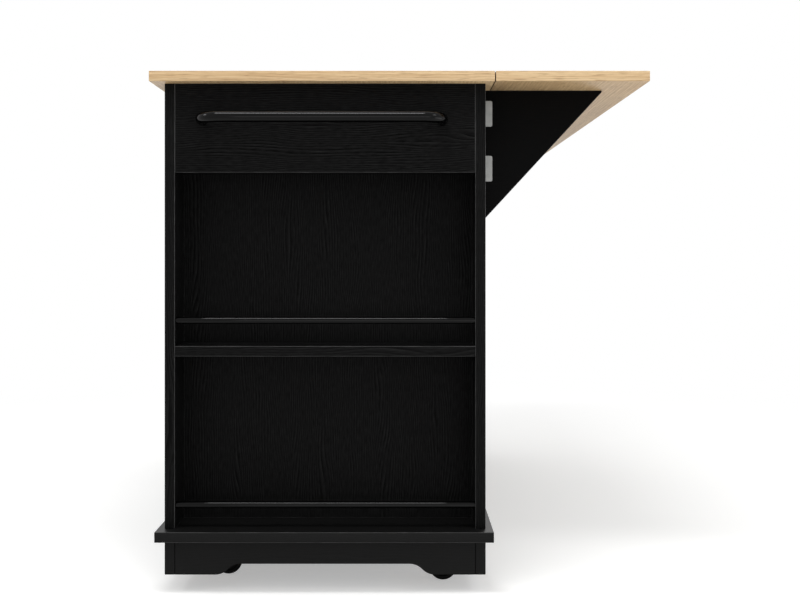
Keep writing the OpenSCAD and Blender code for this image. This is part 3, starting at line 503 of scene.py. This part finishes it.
# A screw head with a cross recess: rows go from the middle over the top and down the side. The
# top rises by domed * (1 - (distance / radius) squared), and is lowered by the recess depth
# inside two crossed bars whose edges ease off as 1 / (1 + exp(distance to the edge)).
def screwHead(origin, out, head, angle, look=0):
    radius, height, shank = head["radius"], head["height"], head["shank"]
    inner = np.linspace(0, 0.92 * radius, recess["rows"])
    rows = np.concatenate([inner, [0.98 * radius, radius, shank, shank, 0]])
    top, foot = head["domed"] * (1 - (inner / radius) ** 2), -height - head["stem"]
    drop = np.concatenate([top, [0, -0.12, -height, foot, foot]])
    turn = np.arange(48) * 2 * np.pi / 48
    x, y = rows[:, None] * np.cos(turn), rows[:, None] * np.sin(turn)
    inside = [[1 / (1 + np.exp((np.abs(v) - recess[edge] * radius) / (recess["soft"] * radius)))
               for edge in ("half", "reach")] for v in (x, y)]
    cross = np.maximum(inside[0][0] * inside[1][1], inside[1][0] * inside[0][1])
    cut = cross * (np.arange(len(rows)) < recess["rows"])[:, None]
    z = drop[:, None] - recess["depth"] * radius * cut
    out = np.asarray(out, float)
    side = np.cross(out, [0, 0, 1] if abs(out[2]) < 0.9 else [1, 0, 0])
    side /= np.linalg.norm(side)
    other = np.cross(out, side)
    c, s = np.cos(angle), np.sin(angle)
    points = (np.asarray(origin, float) + (c * x - s * y)[..., None] * side
              + (s * x + c * y)[..., None] * other + z[..., None] * out)
    uv = np.stack([x, y], 2) * mm
    return ringGrid(points[:, ::-1], uv[:, ::-1], look)


# The same surface on the other side of a plane square to Y
def mirrored(shape, plane):
    points = shape["points"] * [1, -1, 1] + [0, 2 * plane, 0]
    faces, uv = [f[::-1] for f in shape["faces"]], [u[::-1] for u in shape["uv"]]
    return surface(points, faces, uv, shape["looks"])


# One mesh of several surfaces, in metres where the frame has them, with doubles merged
def meshOf(name, shapes, looks):
    offset, points, faces, uv, index = 0, [], [], [], []
    for shape in shapes:
        points.append(shape["points"])
        faces += [[v + offset for v in f] for f in shape["faces"]]
        uv += list(shape["uv"])
        index += shape["looks"]
        offset += len(shape["points"])
    mesh = bpy.data.meshes.new(name)
    mesh.from_pydata((np.concatenate(points) * mm + [corner.x, corner.y, 0]).tolist(), [], faces)
    layer = mesh.uv_layers.new(name="UVMap")
    layer.data.foreach_set("uv", np.concatenate(uv).astype(np.float32).ravel())
    mesh.polygons.foreach_set("material_index", index)
    mesh.polygons.foreach_set("use_smooth", [True] * len(faces))
    for look in looks:
        mesh.materials.append(look)
    work = bmesh.new()
    work.from_mesh(mesh)
    bmesh.ops.remove_doubles(work, verts=work.verts, dist=1e-7)
    work.to_mesh(mesh)
    work.free()
    return mesh


# A mesh with shapes cut away from it: both are closed, so the cut is exact
def cutMesh(mesh, shapes):
    scene = bpy.context.scene.collection.objects
    whole = bpy.data.objects.new("whole", mesh)
    cutter = bpy.data.objects.new("cutter", meshOf("cutter", shapes, []))
    scene.link(whole)
    scene.link(cutter)
    change = whole.modifiers.new("cut", "BOOLEAN")
    change.object, change.operation, change.solver = cutter, "DIFFERENCE", "EXACT"
    seen = whole.evaluated_get(bpy.context.evaluated_depsgraph_get())
    result = bpy.data.meshes.new_from_object(seen)
    bpy.data.objects.remove(whole)
    bpy.data.objects.remove(cutter)
    return result


sharpTurn = np.radians(21)  # an edge that turns by more is drawn sharp


# A piece that moves with a body and stands for the nodes that it replaces
def addPiece(name, body, shapes, looks, slot, replaced, cuts=()):
    mesh = meshOf(name, shapes, looks)
    if cuts:
        mesh = cutMesh(mesh, cuts)
        mesh.name = name
    mesh.set_sharp_from_angle(angle=sharpTurn)
    piece = bpy.data.objects.new(name, mesh)
    bpy.context.scene.collection.objects.link(piece)
    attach(piece, body)
    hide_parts(*replaced)
    return piece


# A node's corners in millimetres from the worktop's corner and the floor
def sizeOf(node):
    low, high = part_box(node)
    shift = np.array([corner.x, corner.y, 0])
    return (np.array(low) - shift) / mm, (np.array(high) - shift) / mm


topLength = 1350.0  # the worktop's length
bayMiddle = 714.0  # the plane half way between the two bays
# each flat board: node, body, thickness axis, the way its grain runs, finish and arris
boards = {
    "worktopBoard": ("worktop", "cabinet", "z", "y", "oak", 1.0),
    "dropLeafBoard": ("drop_leaf", "leaf", "z", "y", "oak", 1.0),
    "basePlate": ("base_plate", "cabinet", "z", "y", "ledge", 0.7),
    "rackSideBoard": ("rack_side_board", "cabinet", "x", "z", "black", 0.8),
    "rackBackBoard": ("near_end_wall", "cabinet", "y", "z", "calm", 0.5),
    "farEndBoard": ("far_end_wall", "cabinet", "y", "z", "black", 0.8),
    "backBoard": ("back_panel", "cabinet", "x", "z", "black", 0.8),
    "partitionBoard": ("centre_partition", "cabinet", "y", "z", "black", 0.5),
    "fasciaBoard": ("fascia_panel", "cabinet", "y", "x", "black", 0.8),
    "rackShelfBoard": ("rack_shelf", "cabinet", "z", "x", "black", 0.8),
    "nearDrawerFront": ("near_drawer_front", "near_drawer", "x", "y", "black", 1.0),
    "farDrawerFront": ("far_drawer_front", "far_drawer", "x", "y", "black", 1.0),
    "nearDoorBoard": ("near_door", "near_door_leaf", "x", "z", "black", 1.0),
    "farDoorBoard": ("far_door", "far_door_leaf", "x", "z", "black", 1.0),
}
# the edges that meet at the leaf's joint, which get the painted shade of the gap: the end, 0 for
# low and 1 for high, and its axis
jointShadeEdges = {"worktopBoard": (1, 0), "dropLeafBoard": (0, 0)}


# One edge of a board gets the dark core in place of the band: a painted shade for the narrow gap at
# the leaf's joint
def paintJointShade(piece, end, axis):
    mesh = piece.data
    mesh.materials.append(jointShadeMaterial)
    count = len(mesh.polygons)
    centre, index = np.empty(count * 3, np.float32), np.empty(count, np.int32)
    mesh.polygons.foreach_get("center", centre)
    mesh.polygons.foreach_get("material_index", index)
    centre = centre.reshape(-1, 3)[:, axis]
    edge = (centre.min(), centre.max())[end]
    near = np.abs(centre - edge) < 0.3 * mm  # the band and the facets next to it
    index[near] = len(mesh.materials) - 1
    mesh.polygons.foreach_set("material_index", index)


# each finish: the looks of the faces, the arrises and the edge band, and the slot
finishes = {"oak": ([oakFoil, oakFoil, oakFoil], "oak_laminate"),
            "black": ([blackFoil, blackArrisPaintedHighlight, blackBand], "black_board"),
            "calm": ([blackCalm, blackArrisPaintedHighlight, blackBand], "black_board"),
            "paint": ([blackPaintAndJointShade, blackArrisPaintedHighlight, blackPaintAndJointShade], "black_board"),
            # the base plate's faces take the darker foil, a painted shade
            "ledge": ([blackGlossyPaintedShade, blackArrisPaintedHighlight, blackSmoothPaintedLight], "black_board"),
            # the plinth: its paler faces are a painted light for the floor's bounce, its darker
            # arrises a painted shade at its joints
            "smooth": ([blackSmoothPaintedLight, blackPaintAndJointShade, blackSmoothPaintedLight], "black_board")}
for name, (node, body, axis, grain, finish, arris) in boards.items():
    looks, slot = finishes[finish]
    piece = addPiece(name, body, [board(*sizeOf(node), axis, grain, arris)], looks, slot, [node])
    if name in jointShadeEdges:
        paintJointShade(piece, *jointShadeEdges[name])

# the boards that come in pairs, one in each bay: node, where the near one ends, arris
pairs = {"drawerRails": ("drawer_rails", 705.0, 0.6),
         "cabinetShelves": ("cabinet_shelves", 704.5, 0.8)}
for name, (node, end, arris) in pairs.items():
    low, high = sizeOf(node)
    near = board(low, (high[0], end, high[2]), "z", "y", arris)
    addPiece(name, "cabinet", [near, mirrored(near, bayMiddle)], *finishes["black"], [node])
print("boards made")


# Plinth: two equal arcs make the curve at each end of a cut-out
plinth = {"rise": 19.0, "run": 45.0, "cornerIn": 89.0, "board": 18.0, "arris": 0.8}


# The lower edge of a plinth board: the angle of both arcs is twice the slope's, and each arc
# has the radius run / (2 sin angle)
def plinthOutline(start, end, cutFrom, cutTo, z0, z1):
    turn = 2 * np.arctan(plinth["rise"] / plinth["run"])
    radius = plinth["run"] / (2 * np.sin(turn))
    a = np.linspace(0, turn, 13)
    lower = np.stack([radius * np.sin(a), radius * (1 - np.cos(a))], 1)
    upper = np.array([plinth["run"], plinth["rise"]]) - lower[::-1][1:]
    curve = np.concatenate([lower, upper])
    rise = curve + [cutFrom, z0]
    fall = (curve * [-1, 1] + [cutTo, z0])[::-1]
    corners = roundedOutline([(start, z0), (end, z0), (end, z1), (start, z1)], 1.0, 4)
    return np.concatenate([corners[:4], rise, fall, corners[4:]])


# the end boards stand between the side boards, whose outer corners are one board further out
low, high = sizeOf("plinth_ends")
thick, cornerIn = plinth["board"], plinth["cornerIn"]
outline = plinthOutline(low[0], high[0], low[0] - thick + cornerIn, high[0] + thick - cornerIn,
                        low[2], high[2])
near = plate(outline, low[1], low[1] + thick, "y", "x", plinth["arris"])
ends = [near, mirrored(near, topLength / 2)]
addPiece("plinthEnds", "cabinet", ends, *finishes["smooth"], ["plinth_ends"])
low, high = sizeOf("plinth_sides")
outline = plinthOutline(low[1], high[1], low[1] + cornerIn, high[1] - cornerIn, low[2], high[2])
sides = [plate(outline, x, x + thick, "x", "y", plinth["arris"])
         for x in (low[0], high[0] - thick)]
addPiece("plinthSides", "cabinet", sides, *finishes["smooth"], ["plinth_sides"])
print("plinth made")


# The towel bar, the guard rails and the handles are all of round rod
enamelled = ([blackEnamel], "black_enamel")
towelBar = {"bend": 34.0, "crown": 0.5}
low, high = sizeOf("towel_bar")
diameter = high[2] - low[2]
path = bentPath(high[0] - low[0], high[1] - low[1] - diameter / 2, diameter, towelBar["bend"], 20)
path = np.stack([(low[0] + high[0]) / 2 + path[:, 0], high[1] - path[:, 1],
                 np.full(len(path), (low[2] + high[2]) / 2)], 1)
addPiece("towelBarRod", "cabinet", [rod(path, (0, 0, 1), diameter / 2, 48, towelBar["crown"])],
         *enamelled, ["towel_bar"])

for name, node in (("upperGuardRail", "upper_guard_rail"), ("lowerGuardRail", "lower_guard_rail")):
    low, high = sizeOf(node)
    middle = (low + high) / 2
    path = [(x, middle[1], middle[2]) for x in np.linspace(low[0], high[0], 9)]
    rail = rod(path, (0, 0, 1), (high[2] - low[2]) / 2)
    addPiece(name, "cabinet", [rail], *enamelled, [node])

handle = {"length": 168.0, "out": 26.0, "diameter": 8.0, "bend": 12.0, "crown": 0.4,
          "front": 22.0, "board": 18.0}


# A handle on a door or drawer front, with the two pan head screws inside
def makeHandle(name, node, body, middle, along):
    flat = bentPath(handle["length"], handle["out"], handle["diameter"], handle["bend"], 12)
    path = np.zeros((len(flat), 3))
    path[:, 0] = handle["front"] - flat[:, 1]
    path[:, 1:] = middle
    path[:, "xyz".index(along)] += flat[:, 0]
    plane = (0, 0, 1) if along == "y" else (0, 1, 0)
    shapes = [rod(path, plane, handle["diameter"] / 2, 32, handle["crown"])]
    reach = (handle["length"] - handle["diameter"]) / 2
    for side in (-1, 1):
        spot = np.array([handle["front"] + handle["board"] + panHead["height"], *middle])
        spot["xyz".index(along)] += side * reach
        shapes.append(screwHead(spot, (1, 0, 0), panHead, 0.4 * side, 1))
    addPiece(name, body, shapes, [blackEnamel, zincSteel], "black_enamel", [node])


for side in ("near", "far"):
    for kind, along in (("drawer", "y"), ("door", "z")):
        low, high = sizeOf(f"{side}_{kind}_handle")
        middle = (low[1:] + high[1:]) / 2
        body = f"{side}_drawer" if kind == "drawer" else f"{side}_door_leaf"
        makeHandle(f"{side}{kind.title()}Handle", f"{side}_{kind}_handle", body, middle, along)
print("rods made")


# The folding supports: each is a triangle square to the back, given here for the near one
support = {"thickness": 12.0, "face": 102.0, "edge": 588.2, "tip": 808.7, "top": 895.7,
           "bottom": 657.0, "corners": (0.8, 2.0, 0.8), "arris": 0.7}
# Their hinges: the pin's place from above, the middle of each hinge, and sizes. The plates have
# rounded corners away from the knuckles, and the screw heads stand a little proud of them.
flap = {"pin": (589.5, 114.0), "z": (853.0, 752.5), "height": 47.0, "width": 17.0, "plate": 1.2,
        "corner": 3.0, "inner": 0.4, "arris": 0.15, "knuckle": 2.5, "bevel": 0.3, "endGap": 0.2,
        "room": 0.3, "endRoom": 0.5, "screwIn": 10.2, "screwUp": 14.1, "proud": 0.05}


# A hinge's knuckles, each a third of its height: the frame has two, and the flap the middle one
def knuckles(x, y, z, frameSide):
    third, radius, bevel = flap["height"] / 3, flap["knuckle"], flap["bevel"]
    half = (third - flap["endGap"]) / 2
    profile = [(0, -half), (radius - bevel, -half), (radius, -half + bevel),
               (radius, half - bevel), (radius - bevel, half), (0, half)]
    return [turned(profile, np.array([x, y, z + s]))
            for s in ((-third, third) if frameSide else (0,))]


# A hinge plate: a thin rectangle from low to high along its axis, with its own corner radii
def hingePlate(a0, a1, z, low, high, axis, grain, corner):
    half = flap["height"] / 2
    outline = roundedOutline([(a0, z - half), (a1, z - half), (a1, z + half), (a0, z + half)],
                             corner, 8)
    return plate(outline, low, high, axis, grain, flap["arris"], 2, (0, 0, 0))


# The triangle with its rounded corners, carried through the board's thickness
def supportBoard():
    s = support
    corners = [(s["edge"], s["bottom"]), (s["tip"], s["top"]), (s["edge"], s["top"])]
    outline = roundedOutline(corners, s["corners"])
    return plate(outline, s["face"], s["face"] + s["thickness"], "y", "x", s["arris"])


# The notches at the board's inner corner that leave room for the knuckles
def supportNotches():
    x, y = flap["pin"]
    radius, half = flap["knuckle"] + flap["room"], flap["height"] / 2 + flap["endRoom"]
    profile = [(0, -half), (radius, -half), (radius, half), (0, half)]
    return [turned(profile, np.array([x, y, z])) for z in flap["z"]]


# The moving halves: a plate on the board's face, a leg round its corner, a knuckle, two screws
def supportFlaps():
    f, (x, y) = flap, flap["pin"]
    outer, face = x - f["knuckle"], support["face"]
    edge, front = outer + f["plate"], face - f["plate"]
    radii = [f["inner"], f["corner"], f["corner"], f["inner"]]
    shapes = []
    for z in f["z"]:
        shapes.append(hingePlate(outer, edge + f["width"], z, front, face, "y", "x", radii))
        shapes.append(hingePlate(front + f["proud"], y, z, outer, edge, "x", "y", f["inner"]))
        shapes += knuckles(x, y, z, False)
        shapes += [screwHead((edge + f["screwIn"], front - f["proud"], z + s * f["screwUp"]),
                             (0, -1, 0), flatHead, 0.5 + s) for s in (-1, 1)]
    return shapes


# The fixed halves: a plate on the back board, two knuckles and two screws
def supportFrames():
    f, (x, y) = flap, flap["pin"]
    back = x - f["knuckle"] - f["room"]
    front = back + f["plate"]
    radii = [f["inner"], f["corner"], f["corner"], f["inner"]]
    shapes = []
    for z in f["z"]:
        shapes.append(hingePlate(y, y + f["width"], z, back, front, "x", "y", radii))
        shapes += knuckles(x, y, z, True)
        shapes += [screwHead((front + f["proud"], y + f["screwIn"], z + s * f["screwUp"]),
                             (1, 0, 0), flatHead, 0.2 - s) for s in (-1, 1)]
    return shapes


# The same shapes at the far end of the island
def atFarEnd(shapes):
    return [mirrored(shape, topLength / 2) for shape in shapes]


zinced = ([zincSteel], "bright_zinc")
for side, placed in (("near", list), ("far", atFarEnd)):
    body = f"{side}_support_board"
    addPiece(f"{side}SupportBoard", body, placed([supportBoard()]), *finishes["paint"],
             [f"{side}_support"], placed(supportNotches()))
    addPiece(f"{side}SupportFlaps", body, placed(supportFlaps()), *zinced,
             [f"{side}_support_flaps"])
frames = supportFrames()
addPiece("supportHingeFrames", "cabinet", frames + atFarEnd(frames), *zinced,
         ["support_hinge_frames"])
print("supports made")


# The frame's own pieces that keep their shape get a finish only
plain = {
    zincSteel: ["shelf_pins", "runner_channels", "leaf_hinge_frames", "door_hinge_frames",
                "hinge_pins", "cabinet_screws", "leaf_hinge_flaps", "near_drawer_slides",
                "far_drawer_slides", "near_door_flaps", "far_door_flaps", "near_front_axle",
                "near_back_axle", "far_front_axle", "far_back_axle"],
    blackEnamel: ["caster_plates", "near_front_fork", "near_back_fork", "far_front_fork",
                  "far_back_fork"],
    blackNylon: ["door_catches", "near_front_wheel", "near_back_wheel", "far_front_wheel",
                 "far_back_wheel"],
    drawerPine: ["near_drawer_box", "far_drawer_box", "near_drawer_bottom", "far_drawer_bottom"],
    blockPine: ["caster_blocks"],
}
for material, names in plain.items():
    for name in names:
        nodes[name].data.materials.clear()
        nodes[name].data.materials.append(material)
print("frame pieces finished")


# Strengths of the world and of the floor's own light, and lengths in metres
studio = {"world": 0.57, "lift": 0.37, "fadeFrom": 1.1, "fadeTo": 2.6, "floor": 14.0,
          "low": "#ececeb", "high": "#f0f0ef", "mottle": 1 / 3}


# 1 for the rays that look at the studio, straight or by a reflection, and 0 for those that
# light the object
def lookingRays(tree):
    ray = addNode(tree, "LightPath")
    seen = addNode(tree, "Math", {"operation": "MAXIMUM"},
                   {0: ray.outputs["Is Camera Ray"], 1: ray.outputs["Is Glossy Ray"]})
    seen = addNode(tree, "Math", {"operation": "MAXIMUM"},
                   {0: seen.outputs[0], 1: ray.outputs["Is Transmission Ray"]})
    return seen.outputs[0]


# Pale painted floor. Near the island it is plain diffuse and holds the shadow; further out it
# turns into the white of the backdrop for the rays that look at it.
def makeFloor():
    size = studio["floor"]
    mesh = bpy.data.meshes.new("floor")
    mesh.from_pydata([(-size, -size, 0), (size, -size, 0), (size, size, 0), (-size, size, 0)],
                     [], [(0, 1, 2, 3)])
    floor = bpy.data.objects.new("floor", mesh)
    bpy.context.scene.collection.objects.link(floor)
    material, tree = newMaterial("paleStudioFloorPainted")
    seen = lookingRays(tree)
    place = addNode(tree, "TexCoord").outputs["Object"]
    mottle = addNode(tree, "TexNoise", {"Scale": 1 / studio["mottle"], "Detail": 3.0},
                     {"Vector": place})
    colour = addNode(tree, "Mix",
                     {"data_type": "RGBA", 6: toLinear(studio["low"]), 7: toLinear(studio["high"])},
                     {0: mottle.outputs["Fac"]})
    matte = addNode(tree, "BsdfDiffuse", {"Roughness": 0.2}, {"Color": colour.outputs[2]})
    power = addNode(tree, "Math", {"operation": "MULTIPLY", 1: studio["lift"]}, {0: seen})
    glow = addNode(tree, "Emission", {"Color": (1, 1, 1, 1)}, {"Strength": power.outputs[0]})
    near = addNode(tree, "AddShader", links={0: matte.outputs[0], 1: glow.outputs[0]})
    away = addNode(tree, "VectorMath", {"operation": "LENGTH"}, {0: place})
    fade = addNode(tree, "MapRange",
                   {"interpolation_type": "SMOOTHSTEP", "From Min": studio["fadeFrom"],
                    "From Max": studio["fadeTo"]}, {"Value": away.outputs["Value"]})
    share = addNode(tree, "Math", {"operation": "MULTIPLY"}, {0: fade.outputs[0], 1: seen})
    white = addNode(tree, "Emission", {"Color": (1, 1, 1, 1), "Strength": 1.0})
    both = addNode(tree, "MixShader",
                   links={0: share.outputs[0], 1: near.outputs[0], 2: white.outputs[0]})
    addNode(tree, "OutputMaterial", links={"Surface": both.outputs[0]})
    mesh.materials.append(material)


# An even white world, dimmer for the rays that light the object
def makeWorld():
    world = bpy.data.worlds.new("studio")
    bpy.context.scene.world = world
    world.use_nodes = True
    tree = world.node_tree
    tree.nodes.clear()
    strength = addNode(tree, "MapRange", {"To Min": studio["world"], "To Max": 1.0},
                       {"Value": lookingRays(tree)})
    back = addNode(tree, "Background", {"Color": (1, 1, 1, 1)}, {"Strength": strength.outputs[0]})
    addNode(tree, "OutputWorld", links={"Surface": back.outputs[0]})


# Soft boxes: place, aim, width and height in metres, and power in watts
lamps = {
    "overhead": ((-0.3, -1.45, 2.8), (-0.1, -0.7, 0.8), (1.15, 0.36), 28.0),
    "topFill": ((0.1, 0.9, 3.4), (0, 0.3, 0.5), (2.4, 2.0), 14.0),
    "lowFront": ((0.5, -3.6, 0.25), (0, -0.6, 0.2), (2.6, 0.5), 10.5),
    "left": ((-2.25, -1.2, 2.05), (-0.3, -0.6, 0.7), (0.5, 0.45), 8.0),
    "right": ((1.75, -1.75, 2.05), (0.1, -0.6, 0.7), (0.5, 0.45), 6.5),
    "underLeaf": ((1.7, -1.0, 0.2), (0.35, -0.4, 0.9), (1.2, 0.8), 6.0),
}


def makeLamps():
    for name, (place, aim, size, power) in lamps.items():
        data = bpy.data.lights.new(name, "AREA")
        data.shape, data.energy = "RECTANGLE", power
        data.size, data.size_y = size
        light = bpy.data.objects.new(name, data)
        light.location = place
        aim = np.array(aim) - np.array(place)
        light.rotation_mode = "QUATERNION"
        light.rotation_quaternion = Vector(aim).to_track_quat("-Z", "Y")
        light.visible_camera = False
        bpy.context.scene.collection.objects.link(light)


# Straight at the rack end, a little above the middle: metres, and millimetres for the lens
camera = {"place": (0.0033, -2.45775, 0.594), "lens": 46.7, "sensor": 36.0,
          "shift": (0.00125, -0.056)}


def makeCamera():
    data = bpy.data.cameras.new("camera")
    data.lens, data.sensor_width = camera["lens"], camera["sensor"]
    data.shift_x, data.shift_y = camera["shift"]
    view = bpy.data.objects.new("camera", data)
    view.location = camera["place"]
    view.rotation_euler = (np.pi / 2, 0, 0)
    bpy.context.scene.collection.objects.link(view)
    bpy.context.scene.camera = view


makeFloor()
makeWorld()
makeLamps()
makeCamera()
bpy.context.scene.view_settings.view_transform = "Standard"
print("studio made")
